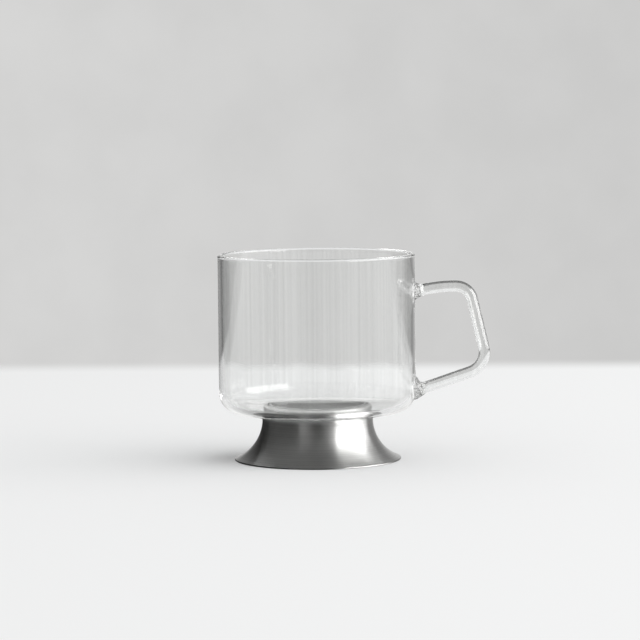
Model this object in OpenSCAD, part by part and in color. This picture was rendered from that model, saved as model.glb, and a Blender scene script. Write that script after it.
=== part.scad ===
// Footed glass mug: a clear straight-sided bowl with a bent glass handle,
// bonded to a spun steel foot. Millimetres, +Z up, handle along +X.
// The origin is on the bowl's axis, in the plane that the foot stands on.

/* [Bowl] */
// Outer diameter of the bowl
bowl_d = 88; // [76:1:104]
// Height of the bowl, from its flat underside to the rim
bowl_h = 70.8; // [64:0.4:96]
// Thickness of the bowl's side wall
wall_t = 2.1; // [1.5:0.1:3.2]
// Thickness of the bowl's floor
floor_t = 2.4; // [1.8:0.1:4]
// Radius outside, where the side turns into the underside
corner_r = 9; // [7:0.5:12]
// Radius inside, where the side turns into the floor
inner_corner_r = 7; // [5:0.5:10]

/* [Foot] */
// Height of the steel foot
foot_h = 21; // [19:0.2:27]
// Outer diameter of the foot's neck, under the bowl
neck_d = 49.4; // [45:0.2:54]
// Outer diameter of the foot where it stands
base_d = 74.4; // [68:0.4:80]
// Thickness of the steel sheet
sheet_t = 0.8; // [0.6:0.1:1.4]
// Outer radius of the bend between the neck and the top plate
top_bend_r = 2.6; // [1.8:0.1:3.4]
// Depth of the flat ground on the rounded lip, where the foot stands
lip_flat = 0.1; // [0.05:0.05:0.2]

/* [Bond] */
// Thickness of the clear adhesive between the steel and the glass
bond_t = 0.2; // [0.1:0.05:0.5]
// Width of the bare ring round the adhesive, on the steel's flat top
bond_margin = 0.6; // [0.2:0.1:3]

/* [Handle] */
// Outer diameter of the handle's glass tube
tube_d = 5.2; // [4:0.1:7]
// Wall thickness of the handle's glass tube
tube_wall = 0.6; // [0.4:0.1:1.2]
// Height of the upper weld's centre over the bowl's underside
upper_weld_h = 54.2; // [48:0.1:58]
// Height of the lower weld's centre over the bowl's underside
lower_weld_h = 9.6; // [8:0.1:15]
// How far the tube rises from the upper weld to its top stretch
top_rise = 2.2; // [0.8:0.1:5]
// Distance from the wall to where the tube has finished rising
rise_reach = 12.5; // [10:0.5:14]
// Distance from the wall to the upper corner of the tube's centre line
upper_reach = 24.2; // [22:0.2:30]
// Distance from the wall to the lower corner of the tube's centre line
lower_reach = 32.6; // [28:0.1:40]
// Height of the lower corner over the bowl's underside
lower_corner_h = 21.2; // [18:0.1:28]
// Bend radius of the centre line at the upper corner
upper_bend_r = 7.3; // [5.5:0.1:9]
// Bend radius of the centre line at the lower corner
lower_bend_r = 9.8; // [6:0.1:12]

/* [Welds] */
// How far each fused bead stands out from the bowl's wall
weld_h = 1.8; // [1.2:0.1:2.6]
// Least width of the upper bead's shoulder round the tube
weld_shoulder = 0.5; // [0.3:0.1:1]
// Extra radius of the lower bead, where the tube meets the wall aslant
lower_extra = 0.9; // [0:0.1:1.4]
// How far the lower bead's centre lies above the tube's axis at the wall
lower_lift = 1.2; // [0:0.1:1.3]
// Radius of the bead's round outer edge
weld_edge_r = 0.8; // [0.4:0.1:1.1]
// Radius of the concave toe where the bead runs into the wall
weld_toe_r = 0.9; // [0.4:0.1:1.1]

/* [Hidden] */
$fn = 96;

bowl_r = bowl_d / 2;
neck_r = neck_d / 2;
base_r = base_d / 2;
tube_r = tube_d / 2;
bore_r = tube_r - tube_wall;

// The bowl stands on the adhesive, which lies on the foot's flat top
bowl_z = foot_h + bond_t;
top_plate_r = neck_r - top_bend_r;
bond_r = top_plate_r - bond_margin;

// The flare's middle line is one arc: upright where the bend ends, and
// through the centre of the rounded lip that the foot stands on
lip_r = sheet_t / 2;
lip_z = lip_r - lip_flat;
flare_top_z = foot_h - top_bend_r;
flare_w = base_r - neck_r;
flare_h = flare_top_z - lip_z;
flare_mid_r = (flare_w * flare_w + flare_h * flare_h) / (2 * flare_w);
flare_centre = [neck_r - lip_r + flare_mid_r, flare_top_z];
flare_sweep = atan2(flare_h, flare_mid_r - flare_w);

// The handle's centre line: corners as [x, z], and the bend at each
rise_share = 0.9;
handle_corners = [
    [bowl_r, bowl_z + upper_weld_h],
    [bowl_r + rise_reach, bowl_z + upper_weld_h + top_rise],
    [bowl_r + upper_reach, bowl_z + upper_weld_h + top_rise],
    [bowl_r + lower_reach, bowl_z + lower_corner_h],
    [bowl_r, bowl_z + lower_weld_h]
];
handle_end = len(handle_corners) - 1;

function heading(i) = let (d = handle_corners[i + 1] - handle_corners[i]) atan2(d[1], d[0]);
function leg(i) = norm(handle_corners[i + 1] - handle_corners[i]);
function turn(i) = heading(i) - heading(i - 1);
function ahead(a) = [cos(a), sin(a)];
function tangent_for(r, i) = r * tan(abs(turn(i)) / 2);

// What each bend takes from the straight legs beside it. The gentle bend at
// the end of the rise takes a share of what the upper corner leaves it.
upper_take = tangent_for(upper_bend_r, 2);
rise_take = rise_share * min(leg(0), leg(1) - upper_take);
takes = [0, rise_take, upper_take, tangent_for(lower_bend_r, 3), 0];
bend_radii = [for (i = [0:handle_end]) takes[i] == 0 ? 0 : takes[i] / tan(abs(turn(i)) / 2)];

// Each bead's centre on the wall, and the radius of its flat top, which
// clears the tube where the tube leaves it aslant
function bead_r(slope) = tube_r / cos(slope) + weld_h * tan(slope) + weld_shoulder;
upper_bead_z = handle_corners[0][1];
upper_bead_r = bead_r(abs(heading(0)));
lower_bead_z = handle_corners[handle_end][1] + lower_lift;
lower_bead_r = bead_r(180 - abs(heading(handle_end - 1))) + lower_extra;

// How deep a weld's blank starts inside the wall, before it is cut to fit
// the bowl, which curves away below the side's end
root_share = 0.5;
weld_root = root_share * corner_r;

// The bends are a hair fuller than the straight lengths, which run a little
// way into them, so that each joint is a plain overlap
bend_swell = 0.02;
bend_lap = 0.1;

// Sides of the circle that cuts small pieces to the bowl's surface
wall_fn = 240;

// Flat sector from angle a to angle b, wider than any band cut with it
module sector(reach, a, b) {
    far = 2 * reach;
    polygon([[0, 0], far * ahead(a), far * ahead((a + b) / 2), far * ahead(b)]);
}

// Flat band between two radii, from angle a to angle b
module band(inner, outer, a, b) {
    intersection() {
        difference() {
            circle(r = outer);
            circle(r = inner);
        }
        sector(outer, a, b);
    }
}

// Half outline of a filled cup with a round lower corner
module cup_outline(r, h, corner) {
    square([r - corner, h]);
    translate([0, corner]) square([r, h - corner]);
    translate([r - corner, corner])
        intersection() {
            circle(r = corner);
            translate([0, -corner]) square([corner, corner + corner]);
        }
}

// Half section of the spun sheet: flat top plate, tight bend, concave flare
// and rounded lip
module foot_section() {
    translate([0, foot_h - sheet_t]) square([top_plate_r, sheet_t]);
    translate([top_plate_r, flare_top_z]) band(top_bend_r - sheet_t, top_bend_r, 0, 90);
    translate(flare_centre)
        band(flare_mid_r - lip_r, flare_mid_r + lip_r, 180, 180 + flare_sweep);
    translate([base_r - lip_r, lip_z]) circle(r = lip_r);
}

// The spun foot, with its lip ground flat where it stands
module foot() {
    color("silver")
        rotate_extrude() {
            intersection() {
                foot_section();
                square([base_r, foot_h]);
            }
        }
}

// Clear adhesive: a thin disc that holds the bowl on the foot
module bond_film() {
    color("gainsboro", 0.6)
        translate([0, 0, foot_h]) cylinder(h = bond_t, r = bond_r);
}

// Clear glass cup with a flat floor and a fire-polished rim
module bowl() {
    rim_r = wall_t / 2;
    color("azure", 0.35)
        translate([0, 0, bowl_z])
            rotate_extrude() {
                difference() {
                    cup_outline(bowl_r, bowl_h - rim_r, corner_r);
                    translate([0, floor_t]) cup_outline(bowl_r - wall_t, bowl_h, inner_corner_r);
                }
                translate([bowl_r - rim_r, bowl_h - rim_r])
                    band(0, rim_r, 0, 180);
            }
}

// Takes away what would lie inside the bowl's outer surface
module outside_bowl() {
    difference() {
        children();
        translate([0, 0, bowl_z])
            rotate_extrude($fn = wall_fn) cup_outline(bowl_r, bowl_h, corner_r);
    }
}

// A round bar of radius r along the handle's centre line, run on into the wall
module handle_bar(r) {
    rotate([90, 0, 0]) {
        for (i = [0:handle_end - 1]) {
            first = i == 0 ? -tube_d : takes[i] - bend_lap;
            last = leg(i) + (i == handle_end - 1 ? tube_d : bend_lap - takes[i + 1]);
            translate(handle_corners[i] + first * ahead(heading(i)))
                rotate([0, 0, heading(i)])
                    rotate([0, 90, 0]) cylinder(h = last - first, r = r);
        }
        // Every bend turns clockwise, with its centre on the right hand
        for (i = [1:handle_end - 1]) {
            start = handle_corners[i] - takes[i] * ahead(heading(i - 1));
            translate(start + bend_radii[i] * ahead(heading(i - 1) - 90))
                rotate([0, 0, heading(i) + 90])
                    rotate_extrude(angle = abs(turn(i)))
                        translate([bend_radii[i], 0]) circle(r = r + bend_swell);
        }
    }
}

// Bent glass tube, cut at both ends to sit on the bowl's wall
module handle() {
    color("azure", 0.35)
        outside_bowl()
            difference() {
                handle_bar(tube_r);
                handle_bar(bore_r);
            }
}

// Bead of fused glass round one end of the tube, at height z on the wall
module weld(z, top_r) {
    outside_bowl()
        difference() {
            translate([bowl_r, 0, z])
                rotate([0, 90, 0])
                    rotate_extrude() {
                        translate([0, -weld_root])
                            square([top_r, weld_root + weld_h - weld_edge_r]);
                        square([top_r - weld_edge_r, weld_h]);
                        translate([top_r - weld_edge_r, weld_h - weld_edge_r])
                            band(0, weld_edge_r, 0, 90);
                        difference() {
                            translate([0, -weld_root])
                                square([top_r + weld_toe_r, weld_root + weld_toe_r]);
                            translate([top_r + weld_toe_r, weld_toe_r]) circle(r = weld_toe_r);
                        }
                    }
            handle_bar(tube_r);
        }
}

module upper_weld() {
    color("lightcyan", 0.5) weld(upper_bead_z, upper_bead_r);
}

module lower_weld() {
    color("lightcyan", 0.5) weld(lower_bead_z, lower_bead_r);
}

foot();
bond_film();
bowl();
handle();
upper_weld();
lower_weld();
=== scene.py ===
# Footed glass mug: one clear glass cup with its handle fused on, standing on a
# spun and brushed steel foot. Metres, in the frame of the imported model. The
# shapes are worked out in millimetres.
import math

import bpy
import numpy as np
from mathutils import Matrix, Vector


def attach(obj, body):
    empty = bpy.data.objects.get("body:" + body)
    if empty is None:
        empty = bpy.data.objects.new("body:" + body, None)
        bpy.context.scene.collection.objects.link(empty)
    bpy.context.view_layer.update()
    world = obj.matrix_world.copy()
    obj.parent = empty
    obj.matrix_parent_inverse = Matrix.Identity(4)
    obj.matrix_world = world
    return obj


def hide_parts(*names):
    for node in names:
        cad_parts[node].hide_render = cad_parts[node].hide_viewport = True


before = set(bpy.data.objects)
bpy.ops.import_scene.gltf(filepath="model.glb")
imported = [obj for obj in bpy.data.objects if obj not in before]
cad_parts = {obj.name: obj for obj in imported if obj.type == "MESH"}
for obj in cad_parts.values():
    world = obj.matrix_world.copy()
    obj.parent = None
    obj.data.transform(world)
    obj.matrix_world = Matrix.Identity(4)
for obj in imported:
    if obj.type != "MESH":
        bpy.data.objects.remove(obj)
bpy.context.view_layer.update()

MM = 0.001

# Sizes of the solids, in millimetres
BOWL_R, BOWL_Z, BOWL_H = 44.0, 21.2, 70.8
WALL, FLOOR = 2.1, 2.4
CORNER_R, INNER_R = 9.0, 7.0
RIM_R = WALL / 2
FOOT_H, NECK_R, BASE_R = 21.0, 24.7, 37.2
SHEET, TOP_BEND, LIP_FLAT = 0.8, 2.6, 0.1
BOND_R = 21.5
TUBE_R, BORE_R = 2.6, 2.0
HANDLE = [(44.0, 75.4), (56.5, 77.6), (68.2, 77.6), (76.6, 42.4), (44.0, 30.8)]
RISE_SHARE = 0.9
UPPER_BEND, LOWER_BEND = 7.3, 9.8
UPPER_BEAD_Z, LOWER_BEAD_Z = HANDLE[0][1], 32.0
RIM_Z, FLOOR_Z = BOWL_Z + BOWL_H, BOWL_Z + FLOOR

# The steel's plate lies a hair below the adhesive's underside, and the glass
# goes a hair into the steel, so that no two faces coincide where light passes
PLATE_Z = FOOT_H - 0.02
PATCH_Z = FOOT_H - 0.04
PATCH_EDGE = 0.03

# Mesh density: segments round the bowl, half the cells of the square window
# in the wall's grid where one end of the handle grows out, the grid's rows
# below, between and above the two windows, and the radius of the innermost
# ring on the flat faces of the glass and of the steel
AROUND = 256
HALF = 8
RING = 8 * HALF
CELL = 2 * math.pi * BOWL_R / AROUND
ROWS_BELOW, ROWS_BETWEEN, ROWS_ABOVE = 7, 24, 8
GLASS_HUB, STEEL_HUB = 1.6, 1.5


# Meshes


class Mesh:
    """Points and faces of one piece, gathered in millimetres."""

    def __init__(self):
        self.points = []
        self.faces = []

    def add(self, pts):
        start = len(self.points)
        self.points.extend([tuple(float(c) for c in p) for p in pts])
        return list(range(start, len(self.points)))

    def strip(self, a, b):
        """Quads between two closed loops of the same length."""
        n = len(a)
        for j in range(n):
            k = (j + 1) % n
            self.faces.append((a[j], a[k], b[k], b[j]))

    def fan(self, loop, centre, flip=False):
        """Triangles from a closed loop to one point."""
        tip = self.add([centre])[0]
        n = len(loop)
        for j in range(n):
            k = (j + 1) % n
            tri = (loop[j], loop[k], tip)
            self.faces.append(tri[::-1] if flip else tri)

    def build(self, name):
        data = bpy.data.meshes.new(name)
        data.from_pydata([(x * MM, y * MM, z * MM) for x, y, z in self.points], [], self.faces)
        data.validate()
        data.polygons.foreach_set("use_smooth", [True] * len(data.polygons))
        data.update()
        piece = bpy.data.objects.new(name, data)
        bpy.context.scene.collection.objects.link(piece)
        return piece


def turns(count):
    """Angles of that many points, spread evenly round a circle."""
    return np.arange(count) * 2 * math.pi / count


def ring_points(r, z):
    """A ring round the bowl's axis."""
    turn = turns(AROUND)
    r = np.broadcast_to(r, turn.shape)
    z = np.broadcast_to(z, turn.shape)
    return np.stack([r * np.cos(turn), r * np.sin(turn), z], axis=1)


def arc(cx, cz, r, start, end, steps):
    """Points of a flat arc, both ends included, angles in degrees."""
    a = np.radians(np.linspace(start, end, steps + 1))
    return [(cx + r * math.cos(t), cz + r * math.sin(t)) for t in a]


# Glass

CORNER_LEN = CORNER_R * math.pi / 2


def outer_profile(s):
    """Radius, height and normal of the bowl's outside, s along its outline."""
    a = np.clip(np.asarray(s, float) / CORNER_R, 0, math.pi / 2)
    up = np.maximum(np.asarray(s, float) - CORNER_LEN, 0)
    r = BOWL_R - CORNER_R + CORNER_R * np.sin(a)
    z = BOWL_Z + CORNER_R - CORNER_R * np.cos(a) + up
    return r, z, np.sin(a), -np.cos(a)


def on_wall(u, s, lift=0.0):
    """Points on the outside of the bowl, u round it and s up it."""
    turn = np.asarray(u, float) / BOWL_R
    r, z, nr, nz = outer_profile(s)
    r = r + lift * nr
    z = z + lift * nz
    return np.stack([r * np.cos(turn), r * np.sin(turn), z], axis=1)


def wall_s(z):
    """How far along the outline the wall reaches height z."""
    return CORNER_LEN + z - (BOWL_Z + CORNER_R)


class Path:
    """The handle's centre line: straight lengths joined by round bends."""

    def __init__(self):
        pts = [np.array(p) for p in HANDLE]
        legs = [pts[i + 1] - pts[i] for i in range(4)]
        length = [float(np.linalg.norm(v)) for v in legs]
        head = [math.atan2(v[1], v[0]) for v in legs]
        turn = [0.0] + [head[i] - head[i - 1] for i in range(1, 4)] + [0.0]
        # What each bend takes from the straight lengths beside it
        take = [0.0] * 5
        take[2] = UPPER_BEND * math.tan(abs(turn[2]) / 2)
        take[3] = LOWER_BEND * math.tan(abs(turn[3]) / 2)
        take[1] = RISE_SHARE * min(length[0], length[1] - take[2])
        self.parts = []
        for i in range(4):
            ahead = np.array([math.cos(head[i]), math.sin(head[i])])
            start = pts[i] + take[i] * ahead
            self.parts.append(("line", length[i] - take[i] - take[i + 1], start, head[i]))
            if i < 3:
                r = take[i + 1] / math.tan(abs(turn[i + 1]) / 2)
                end = pts[i + 1] - take[i + 1] * ahead
                self.parts.append(("bend", r * abs(turn[i + 1]), end, head[i], r))
        self.length = sum(p[1] for p in self.parts)

    def at(self, d):
        """Position (x, z) and heading at distance d from the upper end."""
        for part in self.parts:
            if d <= part[1] or part is self.parts[-1]:
                break
            d -= part[1]
        if part[0] == "line" or d < 0:
            return part[2] + d * np.array([math.cos(part[3]), math.sin(part[3])]), part[3]
        h, r = part[3], part[4]
        centre = part[2] + r * np.array([math.sin(h), -math.cos(h)])
        a = h - d / r
        return centre + r * np.array([-math.sin(a), math.cos(a)]), a

    def point(self, d):
        p, _ = self.at(d)
        return (p[0], 0, p[1])

    def loop(self, d, r):
        """Ring of points round the tube, from the +Y side over its left side."""
        p, h = self.at(d)
        f = turns(RING)
        side, over = r * np.cos(f), r * np.sin(f)
        return np.stack([p[0] - over * math.sin(h), side, p[1] + over * math.cos(h)], axis=1)


PATH = Path()


def square_loop(sign):
    """Grid offsets round the window in the wall, from the +Y side."""
    out = []
    for j in range(RING):
        side, k = divmod((j + HALF) % RING, 2 * HALF)
        k -= HALF
        i, v = [(HALF, k), (-k, HALF), (-HALF, -k), (k, -HALF)][side]
        out.append((i, sign * v))
    return out


def spread(sign, s_mid, toe, count):
    """Loops on the wall between the square window and the bead's round toe."""
    f = turns(RING)
    square = np.array(square_loop(sign), float) * CELL
    circle = np.stack([toe * np.cos(f), sign * toe * np.sin(f)], axis=1)
    out = []
    for t in np.linspace(0, 1, count + 1)[1:-1]:
        mix = (1 - t) * square + t * circle
        out.append(on_wall(mix[:, 0], s_mid + mix[:, 1]))
    out.append(on_wall(circle[:, 0], s_mid + circle[:, 1]))
    return out


# Loops of the two fused beads, from the wall to the tube: radius round the
# bead's middle, lift off the wall, share of the tube's own ring in the loop,
# and that ring's distance along the tube and radius
UPPER_BEAD = [
    (4.60, 0.02, 0, 0, 0), (4.32, 0.09, 0, 0, 0), (4.08, 0.22, 0, 0, 0),
    (3.88, 0.42, 0, 0, 0), (3.74, 0.68, 0, 0, 0), (3.62, 0.97, 0, 0, 0),
    (3.48, 1.25, 0.15, 1.3, 3.44), (3.30, 1.52, 0.35, 1.6, 3.24),
    (3.10, 1.80, 0.6, 1.9, 3.04), (2.95, 2.10, 0.8, 2.25, 2.88),
    (2.80, 2.50, 1.0, 2.7, 2.74),
]
LOWER_BEAD = [
    (5.95, 0.02, 0, 0, 0), (5.62, 0.10, 0, 0, 0), (5.32, 0.24, 0, 0, 0),
    (5.08, 0.46, 0, 0, 0), (4.90, 0.74, 0, 0, 0), (4.70, 1.04, 0.08, 1.5, 3.9),
    (4.42, 1.34, 0.22, 2.0, 3.6), (4.10, 1.62, 0.4, 2.5, 3.35),
    (3.78, 1.90, 0.6, 3.0, 3.12), (3.45, 2.20, 0.8, 3.6, 2.92),
    (3.20, 2.60, 1.0, 4.3, 2.76),
]
UPPER_TOE, LOWER_TOE = 4.9, 6.3

# The plain tube starts and ends this far from the path's ends, in loops this
# far apart, and swells a little towards each bead: (swell, over what length)
UPPER_END, LOWER_END = 3.3, 5.0
LOOP_STEP = 0.75
UPPER_SWELL, LOWER_SWELL = (0.05, 1.2), (0.07, 1.4)

# The bore ends this far from the path's ends, in a round tip: distances from
# the tip and the radius there. Between the tips it is plain.
BORE_UPPER, BORE_LOWER = 0.9, 1.9
BORE_TIP = [(0.02, 0.9), (0.1, 1.35), (0.28, 1.7), (0.6, 1.9), (1.0, 1.97), (1.6, BORE_R)]
BORE_PLAIN, BORE_STEP = 2.4, 0.9


def bead(sign, s_mid, rings):
    """Loops of one fused bead, for the tube's upper (1) or lower (-1) end."""
    f = turns(RING)
    loops = []
    for rho, lift, share, d, r in rings:
        pts = on_wall(rho * np.cos(f), s_mid + sign * rho * np.sin(f), lift)
        if share > 0:
            along = d if sign > 0 else PATH.length - d
            pts = (1 - share) * pts + share * PATH.loop(along, r)
        loops.append(pts)
    return loops


def handle_loops(upper_s, lower_s):
    """All loops of the handle's outside, from the upper window to the lower."""
    loops = spread(1, upper_s, UPPER_TOE, 6) + bead(1, upper_s, UPPER_BEAD)
    start, end = UPPER_END, PATH.length - LOWER_END
    for d in np.linspace(start, end, int((end - start) / LOOP_STEP)):
        swell = 0.0
        for (much, over), away in ((UPPER_SWELL, d - start), (LOWER_SWELL, d - end)):
            swell += much * math.exp(-(away / over) ** 2)
        loops.append(PATH.loop(d, TUBE_R + swell))
    loops += bead(-1, lower_s, LOWER_BEAD)[::-1]
    return loops + spread(-1, lower_s, LOWER_TOE, 5)[::-1]


# Waviness of the blown wall: depth, waves round the bowl, phase, and how the
# phase shifts with height
WAVES = [(0.016, 7, 0.9, 0.0), (0.012, 13, 2.1, 0.0), (0.008, 23, 0.4, 0.02)]
# It starts at the first height and is full after the second length, ends
# below the rim in the same way, and fades out over the floor, where it starts
# at a radius and is full after a width
WAVE_FOOT, WAVE_RIM, WAVE_FLOOR = (34.0, 14.0), (90.0, 8.0), (30.0, 12.0)
# Behind each bead the wall is drawn outwards: height, width and depth
PULLS = [(UPPER_BEAD_Z, 4.6, 0.22), (LOWER_BEAD_Z + 0.5, 5.2, 0.16)]


def inner_wave(turn, z, r):
    """How far the inside of the glass lies outwards of its plain form."""
    wave = 0.0
    for deep, count, phase, shift in WAVES:
        wave = wave + deep * np.sin(count * turn + phase + shift * z)
    high = np.clip((z - WAVE_FOOT[0]) / WAVE_FOOT[1], 0, 1)
    high = high * np.clip((WAVE_RIM[0] - z) / WAVE_RIM[1], 0, 1)
    wave = wave * high * high * (3 - 2 * high)
    side = (turn + math.pi) % (2 * math.pi) - math.pi
    for mid, wide, deep in PULLS:
        wave = wave + deep * np.exp(-((side * BOWL_R) ** 2 + (z - mid) ** 2) / (2 * wide * wide))
    if r > BOWL_R - WALL - 0.01:
        return wave
    return wave * max(0.0, (r - WAVE_FLOOR[0]) / WAVE_FLOOR[1])


def inner_ring(r, z):
    """A ring on the inside of the glass."""
    z = np.full(AROUND, float(z))
    return ring_points(r + inner_wave(turns(AROUND), z, r), z)


def glass_cup():
    """Bowl, handle tube and both fused beads as one closed body of glass."""
    m = Mesh()
    upper_s, lower_s = wall_s(UPPER_BEAD_Z), wall_s(LOWER_BEAD_Z)
    half = HALF * CELL
    top_s = CORNER_LEN + BOWL_H - CORNER_R - RIM_R
    rows = np.concatenate([
        np.linspace(0, lower_s - half, ROWS_BELOW + 1)[:-1],
        np.linspace(lower_s - half, lower_s + half, 2 * HALF + 1)[:-1],
        np.linspace(lower_s + half, upper_s - half, ROWS_BETWEEN + 1)[:-1],
        np.linspace(upper_s - half, upper_s + half, 2 * HALF + 1)[:-1],
        np.linspace(upper_s + half, top_s, ROWS_ABOVE),
    ])
    lower_row = ROWS_BELOW + HALF
    upper_row = ROWS_BELOW + 2 * HALF + ROWS_BETWEEN + HALF
    u = np.arange(AROUND) * CELL
    offsets = [i if i < AROUND / 2 else i - AROUND for i in range(AROUND)]

    # The outer wall's grid, without the insides of the two windows
    grid = []
    for k, s in enumerate(rows):
        pts = on_wall(u, np.full(AROUND, s))
        near = min(abs(k - lower_row), abs(k - upper_row)) < HALF
        grid.append([
            None if near and abs(offsets[i]) < HALF else m.add([pts[i]])[0] for i in range(AROUND)
        ])
    for k in range(len(rows) - 1):
        beside = -HALF <= k - lower_row < HALF or -HALF <= k - upper_row < HALF
        for i in range(AROUND):
            j = (i + 1) % AROUND
            if not (beside and -HALF <= offsets[i] < HALF):
                m.faces.append((grid[k][i], grid[k][j], grid[k + 1][j], grid[k + 1][i]))

    # Rim, inner wall, inner corner and floor
    last = grid[-1]
    for r, z in arc(BOWL_R - RIM_R, RIM_Z - RIM_R, RIM_R, 0, 180, 14)[1:-1]:
        loop = m.add(ring_points(r, z))
        m.strip(last, loop)
        last = loop
    inner_r, corner_z = BOWL_R - WALL, FLOOR_Z + INNER_R
    profile = [(inner_r, z) for z in np.linspace(RIM_Z - RIM_R, corner_z, 46)[:-1]]
    profile += arc(inner_r - INNER_R, corner_z, INNER_R, 0, -90, 16)
    profile += [(r, FLOOR_Z) for r in np.linspace(inner_r - INNER_R, GLASS_HUB, 20)[1:]]
    for r, z in profile:
        loop = m.add(inner_ring(r, z))
        m.strip(last, loop)
        last = loop
    m.fan(last, (0, 0, FLOOR_Z))

    # Underside, with the patch that the clear adhesive joins to the steel
    last = grid[0]
    patch_r = BOND_R - PATCH_EDGE
    under = [(r, BOWL_Z) for r in np.linspace(BOWL_R - CORNER_R, BOND_R, 10)[1:]]
    under += [(patch_r, PATCH_Z)]
    under += [(r, PATCH_Z) for r in np.linspace(patch_r, GLASS_HUB, 12)[1:]]
    for r, z in under:
        loop = m.add(ring_points(r, z))
        m.strip(loop, last)
        last = loop
    m.fan(last, (0, 0, PATCH_Z), flip=True)

    # Handle: window, bead, tube, bead and window, all as loops of one strip
    def window(mid_row, sign):
        return [grid[mid_row + v][i % AROUND] for i, v in square_loop(sign)]

    last = window(upper_row, 1)
    for pts in handle_loops(upper_s, lower_s):
        loop = m.add(pts)
        m.strip(last, loop)
        last = loop
    m.strip(last, window(lower_row, -1))

    # The tube's bore: a closed hollow that ends at the bowl's wall
    begin, finish = BORE_UPPER, PATH.length - BORE_LOWER
    count = int((finish - begin) / BORE_STEP)
    marks = [(begin + d, r) for d, r in BORE_TIP]
    marks += [(d, BORE_R) for d in np.linspace(begin + BORE_PLAIN, finish - BORE_PLAIN, count)]
    marks += [(finish - d, r) for d, r in reversed(BORE_TIP)]
    loops = [m.add(PATH.loop(d, r)) for d, r in marks]
    m.fan(loops[0], PATH.point(begin))
    for last, loop in zip(loops, loops[1:]):
        m.strip(loop, last)
    m.fan(loops[-1], PATH.point(finish), flip=True)
    return m.build("glass_cup")


# Steel

# The flare's inner side starts this far above the lip, in degrees of its arc
LIP_RISE = 1.2


def steel_foot():
    """The spun sheet as one closed shell of even thickness."""
    lip = SHEET / 2
    lip_z = lip - LIP_FLAT
    top = FOOT_H - TOP_BEND
    plate_r = NECK_R - TOP_BEND
    wide, tall = BASE_R - NECK_R, top - lip_z
    mid = (wide * wide + tall * tall) / (2 * wide)
    cx = NECK_R - lip + mid
    sweep = math.degrees(math.atan2(tall, mid - wide))
    flat = math.degrees(math.asin(lip_z / lip))
    outline = [(r, PLATE_Z) for r in np.linspace(STEEL_HUB, plate_r, 14)[:-1]]
    outline += arc(plate_r, top, TOP_BEND, 90, 0, 10)
    outline += arc(cx, top, mid - lip, 180, 180 + sweep, 40)[1:]
    outline += arc(BASE_R - lip, lip_z, lip, sweep, -flat, 10)[1:]
    outline += [(BASE_R - lip - lip * math.cos(math.radians(flat)), 0.0)]
    outline += arc(cx, top, mid + lip, 180 + sweep - LIP_RISE, 180, 40)
    outline += arc(plate_r, top, TOP_BEND - SHEET, 0, 90, 8)
    outline += [(r, FOOT_H - SHEET) for r in np.linspace(plate_r, STEEL_HUB, 14)[1:]]
    # Where two stretches meet they share a point, which is kept once
    outline = [p for p, q in zip(outline, [(0, 0)] + outline) if math.dist(p, q) > 0.01]
    m = Mesh()
    loops = [m.add(ring_points(r, z)) for r, z in outline]
    m.fan(loops[0], (0, 0, PLATE_Z))
    for last, loop in zip(loops, loops[1:]):
        m.strip(loop, last)
    m.fan(loops[-1], (0, 0, FOOT_H - SHEET), flip=True)
    return m.build("steel_foot")


# Materials


class Graph:
    """Short ways to add nodes to a node tree and to join them."""

    def __init__(self, tree):
        self.nodes, self.links = tree.nodes, tree.links

    def put(self, socket, value):
        """Set an input to a plain value, or link it to an output."""
        if isinstance(value, bpy.types.NodeSocket):
            self.links.new(value, socket)
        else:
            socket.default_value = value

    def add(self, kind, inputs=None, **settings):
        node = self.nodes.new("ShaderNode" + kind)
        for name, value in settings.items():
            setattr(node, name, value)
        for name, value in (inputs or {}).items():
            self.put(node.inputs[name], value)
        return node

    def maths(self, how, *values):
        node = self.add("Math", operation=how)
        for socket, value in zip(node.inputs, values):
            self.put(socket, value)
        return node.outputs["Value"]

    def remap(self, value, low, high, start=0.0, end=1.0, kind="LINEAR"):
        """A step of value, from start at low to end at high."""
        node = self.add("MapRange", {
            "Value": value, "From Min": low, "From Max": high, "To Min": start, "To Max": end,
        }, interpolation_type=kind)
        return node.outputs["Result"]

    def fade(self, value, low, high, start=0.0, end=1.0):
        """As remap, with soft ends."""
        return self.remap(value, low, high, start, end, "SMOOTHSTEP")

    def choose(self, fac, first, second):
        """The first value where fac is 0, and the second where it is 1."""
        return self.add("Mix", {"Factor": fac, "A": first, "B": second}).outputs["Result"]

    def blend(self, fac, first, second):
        """As choose, for colours."""
        inputs = {"Factor": fac, "A": first, "B": second}
        return self.add("Mix", inputs, data_type="RGBA").outputs["Result"]

    def ramp(self, fac, low, high, first, second):
        """A colour between two, by where fac lies from low to high."""
        node = self.add("ValToRGB", {"Fac": fac})
        for point, place, colour in zip(node.color_ramp.elements, (low, high), (first, second)):
            point.position = place
            point.color = (*colour, 1)
        return node.outputs["Color"]

    def curve(self, value, stops, top):
        """Grey tone by angle: stops of (degrees from -180 to 180, tone)."""
        node = self.add("ValToRGB", {"Fac": value})
        node.color_ramp.interpolation = "EASE"
        bar = node.color_ramp.elements
        while len(bar) < len(stops):
            bar.new(0.5)
        for point, (angle, tone) in zip(bar, stops):
            point.position = (angle + 180) / 360
            point.color = (tone / top, tone / top, tone / top, 1)
        return self.maths("MULTIPLY", node.outputs["Color"], top)

    def noise(self, place, scale, detail):
        node = self.add("TexNoise", {"Vector": place, "Scale": scale, "Detail": detail})
        return node.outputs["Fac"]

    def stretched_noise(self, place, scale, detail):
        """Noise with its own scale along each axis."""
        node = self.add("Mapping", {"Vector": place, "Scale": scale})
        return self.noise(node.outputs["Vector"], 1.0, detail)


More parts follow.
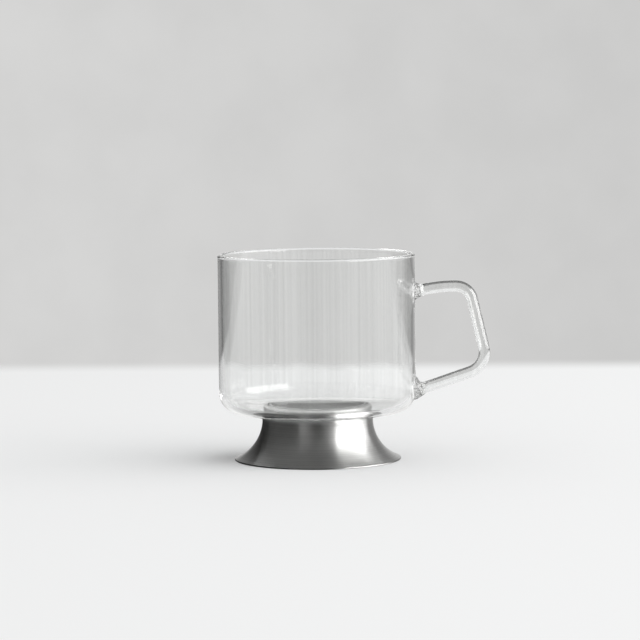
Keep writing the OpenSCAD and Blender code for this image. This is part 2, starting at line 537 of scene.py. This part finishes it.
def new_material(name):
    """A material, its graph, and the input that takes its finished shader."""
    mat = bpy.data.materials.new(name)
    mat.use_nodes = True
    mat.node_tree.nodes.clear()
    graph = Graph(mat.node_tree)
    return mat, graph, graph.add("OutputMaterial").inputs["Surface"]


# Where one finish gives way to another: each pair is the start and the end of
# a step, in metres. Along X in the glass:
TUBE_TO_BOWL = (0.0441, 0.0439)
BOWL_TO_BEAD = (0.0439, 0.0443)
TUBE_TO_BEAD = (0.0476, 0.0464)
# Away from the middle of the nearer bead:
LUMPS_NEAR, BUBBLES_NEAR = (0.0068, 0.0042), (0.0058, 0.0044)
BEAD_MIDDLES = ((0.0447, 0, 0.0756), (0.0447, 0, 0.0318))
# Up the steel, where the flare gives way to the bend and the bend to the plate, both painted
# lighter:
FLARE_TO_BEND, BEND_TO_PLATE = (0.0193, 0.0199), (0.0202, 0.0208)


def glass_material():
    mat, graph, surface = new_material("clear_glass")
    place = graph.add("TexCoord").outputs["Object"]
    x = graph.add("SeparateXYZ", {"Vector": place}).outputs["X"]

    # Draw lines of the blown wall: very shallow, long and upright, and none
    # on the handle, which is drawn tube
    lines = graph.stretched_noise(place, (330.0, 330.0, 5.0), 1.0)
    on_bowl = graph.remap(x, *TUBE_TO_BOWL, 0.0, 0.35)
    drawn = graph.add("Bump", {"Strength": on_bowl, "Distance": 0.00002, "Height": lines})

    # Lumps of the fused glass, in the beads and just round them
    near = []
    for middle in BEAD_MIDDLES:
        away = graph.add("VectorMath", {0: place, 1: middle}, operation="DISTANCE")
        near.append(away.outputs["Value"])
    closest = graph.maths("MINIMUM", *near)
    uneven = graph.add("Bump", {
        "Strength": graph.remap(closest, *LUMPS_NEAR),
        "Distance": 0.0004,
        "Height": graph.noise(place, 620.0, 1.0),
        "Normal": drawn.outputs["Normal"],
    })

    # Fine bubbles blur the beads, from the wall out to where the tube is plain
    bubbly = graph.remap(closest, *BUBBLES_NEAR)
    for pair in (BOWL_TO_BEAD, TUBE_TO_BEAD):
        bubbly = graph.maths("MULTIPLY", bubbly, graph.remap(x, *pair))

    # The glass's faint tint, with darker upright streaks painted into it as painted reflections of
    # the room's upright bands
    tint_and_painted_streaks = graph.stretched_noise(place, (620.0, 620.0, 3.0), 2.0)
    shader = graph.add("BsdfPrincipled", {
        "Base Color": graph.ramp(tint_and_painted_streaks, 0.36, 0.6, (0.935, 0.939, 0.936), (0.996, 1, 0.997)),
        "Roughness": graph.maths("MULTIPLY", bubbly, 0.12),
        "IOR": 1.47,
        "Transmission Weight": 1.0,
        "Normal": uneven.outputs["Normal"],
    })

    # Shadow rays pass as through clear glass: freely where they meet the wall
    # squarely, and about half where they graze it
    slant = graph.add("LayerWeight", {"Blend": 0.5}).outputs["Facing"]
    clear = graph.add("BsdfTransparent", {
        "Color": graph.ramp(slant, 0.5, 1.0, (0.965, 0.97, 0.97), (0.5, 0.505, 0.51)),
    })
    shadow = graph.add("LightPath").outputs["Is Shadow Ray"]
    both = graph.add("MixShader", {0: shadow, 1: shader.outputs["BSDF"], 2: clear.outputs["BSDF"]})
    graph.put(surface, both.outputs["Shader"])
    return mat


def film_material():
    """Adhesive that bends no light, faintly cloudy."""
    mat, graph, surface = new_material("clear_adhesive")
    cloud = graph.noise(graph.add("TexCoord").outputs["Object"], 140.0, 2.0)
    shader = graph.add("BsdfPrincipled", {
        "Base Color": graph.ramp(cloud, 0.35, 0.7, (0.95, 0.96, 0.96), (0.985, 0.99, 0.99)),
        "Roughness": 0.0,
        "IOR": 1.0,
        "Specular IOR Level": 0.0,
        "Transmission Weight": 1.0,
    })
    graph.put(surface, shader.outputs["BSDF"])
    return mat


def steel_material():
    mat, graph, surface = new_material("brushed_steel")
    place = graph.add("TexCoord").outputs["Object"]
    split = graph.add("SeparateXYZ", {"Vector": place}).outputs

    # Fine rings left by the spinning: noise that changes with radius and
    # height only
    flat = graph.add("CombineXYZ", {"X": split["X"], "Y": split["Y"]}).outputs["Vector"]
    radius = graph.add("VectorMath", {0: flat}, operation="LENGTH").outputs["Value"]
    section = graph.add("CombineXYZ", {"X": radius, "Z": split["Z"]}).outputs["Vector"]
    rings = graph.noise(section, 2600.0, 3.0)
    bump = graph.add("Bump", {"Strength": 0.2, "Distance": 0.00001, "Height": rings})

    # Painted light: the top of the bend and the plate under the glass get a lighter base colour,
    # standing in for the light from above that they reflect up through the glass floor. The plate
    # is also rougher.
    bend = graph.remap(split["Z"], *FLARE_TO_BEND)
    plate = graph.remap(split["Z"], *BEND_TO_PLATE)
    tone = graph.ramp(rings, 0.3, 0.75, (0.46, 0.46, 0.455), (0.6, 0.6, 0.595))
    # Painted light: the bend and then the plate are lighter than the flare
    tone = graph.blend(bend, tone, (0.86, 0.86, 0.855, 1))
    tone = graph.blend(plate, tone, (0.76, 0.76, 0.755, 1))
    shader = graph.add("BsdfPrincipled", {
        "Base Color": tone,
        "Metallic": 1.0,
        "Roughness": graph.choose(plate, graph.remap(rings, 0.0, 1.0, 0.25, 0.33), 0.66),
        "Anisotropic": 1.0,
        "Anisotropic Rotation": 0.25,
        "Tangent": graph.add("Tangent", direction_type="RADIAL", axis="Z").outputs["Tangent"],
        "Normal": bump.outputs["Normal"],
    })
    graph.put(surface, shader.outputs["BSDF"])
    return mat


def give(piece, mat):
    piece.data.materials.clear()
    piece.data.materials.append(mat)


# Pieces

glass = glass_cup()
give(glass, glass_material())
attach(glass, "root")
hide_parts("bowl", "handle", "upper_weld", "lower_weld")

foot = steel_foot()
give(foot, steel_material())
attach(foot, "root")
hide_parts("foot")

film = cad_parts["bond_film"]
for socket in film.material_slots:
    socket.material = film_material()


# Table

# Its far edge looks level to the camera, about 0.41 m behind the mug, and
# fades softly into the wall behind, so far on both sides of that line. The
# mesh goes on a little further. Lengths in metres.
TABLE_TURN = math.radians(6.2)
TABLE_BACK, TABLE_FADE, TABLE_SPARE = 0.408, 0.034, 0.3
TABLE_SIDE, TABLE_FRONT = 2.5, 3.5


def table_corner(across, deep):
    c, t = math.cos(TABLE_TURN), math.sin(TABLE_TURN)
    return (across * c - deep * t, across * t + deep * c, 0)


def table_material():
    mat, graph, surface = new_material("table_top")
    shader = graph.add("BsdfPrincipled", {
        "Base Color": (0.89, 0.895, 0.9, 1), "Roughness": 1.0, "Specular IOR Level": 0.0,
    })
    # Mirror rays pass the table, so that the steel shows the room alone
    path = graph.add("LightPath").outputs
    in_air = graph.maths("SUBTRACT", 1.0, path["Is Transmission Ray"])
    mirror = graph.maths("MULTIPLY", path["Is Glossy Ray"], in_air)
    place = graph.add("TexCoord").outputs["Object"]
    away = (-math.sin(TABLE_TURN), math.cos(TABLE_TURN), 0)
    depth = graph.add("VectorMath", {0: place, 1: away}, operation="DOT_PRODUCT")
    edge = graph.fade(depth.outputs["Value"], TABLE_BACK - TABLE_FADE, TABLE_BACK + TABLE_FADE)
    both = graph.add("MixShader", {
        0: graph.maths("MAXIMUM", mirror, edge),
        1: shader.outputs["BSDF"],
        2: graph.add("BsdfTransparent").outputs["BSDF"],
    })
    graph.put(surface, both.outputs["Shader"])
    return mat


table_end = TABLE_BACK + TABLE_FADE + TABLE_SPARE
data = bpy.data.meshes.new("table")
data.from_pydata([
    table_corner(-TABLE_SIDE, -TABLE_FRONT), table_corner(TABLE_SIDE, -TABLE_FRONT),
    table_corner(TABLE_SIDE, table_end), table_corner(-TABLE_SIDE, table_end),
], [], [(0, 1, 2, 3)])
data.update()
table = bpy.data.objects.new("table", data)
bpy.context.scene.collection.objects.link(table)
give(table, table_material())


# Light

# One large soft lamp at the right lights the table and casts the shadow. The
# room further down draws how that window looks in glass and steel, so neither
# they nor the camera see the lamp itself.
LAMP_SPOT, LAMP_AIM = Vector((4.5, -0.06, 1.95)), Vector((0, 0, 0.15))
LAMP_SIZE, LAMP_POWER = (6.9, 3.3), 320

data = bpy.data.lights.new("window", "AREA")
data.shape = "RECTANGLE"
data.size, data.size_y = LAMP_SIZE
data.energy = LAMP_POWER
window = bpy.data.objects.new("window", data)
bpy.context.scene.collection.objects.link(window)
window.location = LAMP_SPOT
window.rotation_euler = (LAMP_AIM - LAMP_SPOT).to_track_quat("-Z", "Y").to_euler()
window.visible_camera = False
window.visible_glossy = False
window.visible_transmission = False


# Room

# Tones of the room by angle round the mug, 0 towards the camera and positive
# to the right. What mirror rays meet: below the window's sill, above it, and
# above the window.
LOW = [
    (-180, 0.95), (-174, 0.7), (-166, 0.02), (-138, 0.01), (-122, 0.03), (-100, 0.05),
    (-60, 0.02), (-46, 0.03), (-31, 0.4), (-17, 0.2), (-6, 0.03), (3, 0.03), (12, 0.12),
    (20, 0.26), (34, 0.7), (44, 1.1), (50, 0.7), (54, 1.2), (59, 0.8), (63, 1.3), (68, 1.3),
    (71, 0.8), (75, 1.4), (84, 1.1), (88, 1.6), (94, 1.2), (103, 1.5), (120, 1.2), (127, 0.4),
    (140, 0.32), (162, 0.4), (180, 0.95),
]
HIGH = [
    (-180, 0.7), (-172, 0.55), (-164, 0.1), (-138, 0.02), (-122, 0.03), (-100, 0.05),
    (-60, 0.02), (-46, 0.03), (-31, 0.4), (-17, 0.2), (-6, 0.03), (3, 0.03), (12, 0.14),
    (20, 0.32), (32, 1.1), (38, 2.2), (41, 5.5), (57, 5.5), (58.5, 4.0), (60, 5.5), (74, 5.5),
    (75.5, 4.0), (77, 5.5), (90, 5.5), (91.5, 4.0), (93, 5.5), (103, 5.5), (112, 3.0),
    (120, 2.0), (127, 0.4), (150, 0.3), (180, 0.7),
]
TOP = [
    (-180, 0.45), (-165, 0.3), (-150, 0.05), (-120, 0.03), (-60, 0.02), (-46, 0.02),
    (-31, 0.12), (-16, 0.08), (-5, 0.02), (12, 0.1), (20, 0.3), (32, 1.1), (38, 2.2),
    (41, 5.5), (103, 5.5), (108, 1.2), (124, 0.3), (165, 0.3), (180, 0.45),
]
# What shows through the glass: at eye level, higher up, and higher up for
# rays that were mirrored deep inside the mug
THROUGH = [
    (-180, 0.63), (-175, 0.655), (-172, 0.58), (-168, 0.52), (-160, 0.38), (-150, 0.2),
    (-138, 0.13), (-118, 0.12), (-90, 0.12), (-40, 0.1), (0, 0.1), (25, 0.2), (41, 1.1),
    (103, 1.4), (111, 0.3), (138, 0.18), (150, 0.22), (160, 0.38), (168, 0.55), (175, 0.6),
    (180, 0.63),
]
THROUGH_HIGH = [
    (-180, 0.18), (-161, 0.16), (-146, 0.14), (-90, 0.12), (0, 0.1), (36, 0.3), (41, 5.0),
    (57, 5.0), (58.5, 3.5), (60, 5.0), (74, 5.0), (75.5, 3.5), (77, 5.0), (90, 5.0),
    (91.5, 3.5), (93, 5.0), (103, 5.0), (108, 0.5), (125, 0.18), (161, 0.16), (180, 0.18),
]
THROUGH_BACK = [
    (-180, 0.95), (-140, 0.9), (-110, 0.6), (0, 0.6), (36, 0.9), (41, 5.0), (103, 5.0),
    (108, 0.9), (140, 0.9), (180, 0.95),
]
# What the camera sees directly
BEHIND = [(-180, 0.63), (-173, 0.66), (-120, 0.64), (120, 0.62), (173, 0.605), (180, 0.63)]

# The top of the scale that the bright curves are written on, and plain tones:
# ceiling and ground in mirrors, the table in polished glass, and what the
# blurred beads meet; the ceiling through the glass, as it is, mirrored once,
# and deep inside; and what fills the shade on matt surfaces
SCALE = 6.0
CEILING_TONE, GROUND_TONE, TABLE_TONE, BEAD_TONE = 0.06, 0.04, 0.85, 1.15
CEILING_CLEAR, CEILING_ONCE, CEILING_DEEP = 0.35, 0.08, 1.2
FILL = 0.6
WARMTH = (1.0, 0.998, 0.99, 1)

# How high up one tone gives way to the next, as the sine of the elevation:
# in mirrors, and through the glass
SILL, WINDOW_TOP, CEILING = (0.0, 0.03), (0.26, 0.4), (0.6, 0.7)
GROUND, TABLE_LEVEL = (-0.3, -0.5), (-0.12, -0.25)
CLEAR_SILL, CLEAR_CEILING = (0.06, 0.14), (0.6, 0.75)

AZIMUTH = math.radians(8.0)

world = bpy.data.worlds.new("room")
bpy.context.scene.world = world
world.use_nodes = True
world.cycles.sampling_method = "NONE"
room = Graph(world.node_tree)
place = room.add("TexCoord").outputs["Generated"]
split = room.add("SeparateXYZ", {"Vector": place}).outputs
up = split["Z"]
turn = room.maths("ARCTAN2", split["X"], room.maths("MULTIPLY", split["Y"], -1.0))
turn = room.maths("WRAP", room.maths("SUBTRACT", turn, AZIMUTH), math.pi, -math.pi)
turn = room.remap(turn, -math.pi, math.pi)
path = room.add("LightPath").outputs

low, high, top = (room.curve(turn, stops, SCALE) for stops in (LOW, HIGH, TOP))
mirrored = room.choose(room.fade(up, *SILL), low, high)
mirrored = room.choose(room.fade(up, *WINDOW_TOP), mirrored, top)
mirrored = room.choose(room.fade(up, *CEILING), mirrored, CEILING_TONE)
mirrored = room.choose(room.fade(up, *GROUND), mirrored, GROUND_TONE)
# The polished glass mirrors the pale table under it. The brushed steel's
# reflections are too blurred to show it.
pale = room.maths("MULTIPLY", path["Is Singular Ray"], room.fade(up, *TABLE_LEVEL))
mirrored = room.choose(pale, mirrored, TABLE_TONE)

# Rays that come back from the steel under the floor cross the glass more
# often than any others, and those in the rim and the beads are mirrored more
# often: both meet the pale wall high up behind the mug
once = room.maths("GREATER_THAN", path["Glossy Depth"], 0.5)
twice = room.maths("GREATER_THAN", path["Glossy Depth"], 1.5)
often = room.maths("GREATER_THAN", path["Transmission Depth"], 5.5)
deep = room.maths("MAXIMUM", room.maths("MULTIPLY", once, often), twice)
clear_high = room.choose(
    deep, room.curve(turn, THROUGH_HIGH, SCALE), room.curve(turn, THROUGH_BACK, SCALE)
)
clear_top = room.choose(deep, room.choose(once, CEILING_CLEAR, CEILING_ONCE), CEILING_DEEP)
through = room.choose(room.fade(up, *CLEAR_SILL), room.curve(turn, THROUGH, 1.0), clear_high)
through = room.choose(room.fade(up, *CLEAR_CEILING), through, clear_top)
# The blurred rays of the fused beads meet the bright parts of the room
through = room.choose(path["Is Singular Ray"], BEAD_TONE, through)

# The painted wall is slightly mottled
mottle = room.fade(room.noise(place, 34.0, 4.0), 0.25, 0.75, 0.975, 1.025)

tone = room.choose(path["Is Glossy Ray"], FILL, mirrored)
tone = room.choose(path["Is Transmission Ray"], tone, through)
tone = room.choose(path["Is Camera Ray"], tone, room.curve(turn, BEHIND, 1.0))
tone = room.choose(room.maths("GREATER_THAN", path["Diffuse Depth"], 0.5), tone, FILL)
back = world.node_tree.nodes["Background"]
room.put(back.inputs["Strength"], room.maths("MULTIPLY", tone, mottle))
back.inputs["Color"].default_value = WARMTH


# Camera, fitted to the photograph

PITCH, ROLL = 0.08577, 0.0092
DISTANCE, HEIGHT, ASIDE = 1.26266, 0.17082, 0.00145
FOCAL_PIXELS, IMAGE_PIXELS, SENSOR = 2841.74, 640, 36

right = Vector((math.cos(AZIMUTH), math.sin(AZIMUTH), 0))
ahead = Vector((-math.sin(AZIMUTH), math.cos(AZIMUTH), 0))
look = ahead * math.cos(PITCH) + Vector((0, 0, -math.sin(PITCH)))
upward = right.cross(look)
camera = bpy.data.objects.new("camera", bpy.data.cameras.new("camera"))
bpy.context.scene.collection.objects.link(camera)
spot = right * ASIDE - ahead * DISTANCE + Vector((0, 0, HEIGHT))
spin = Matrix((right, upward, -look)).transposed() @ Matrix.Rotation(-ROLL, 3, "Z")
camera.matrix_world = Matrix.Translation(spot) @ spin.to_4x4()
camera.data.sensor_width = SENSOR
camera.data.lens = FOCAL_PIXELS / IMAGE_PIXELS * SENSOR
camera.data.clip_start = 0.05
bpy.context.scene.camera = camera

bpy.context.scene.view_settings.view_transform = "Standard"
# Light goes many times round inside the thick glass of the rim and corners
bounces = bpy.context.scene.cycles
bounces.max_bounces = 160
bounces.glossy_bounces = 150
bounces.transmission_bounces = 64
bounces.transparent_max_bounces = 32
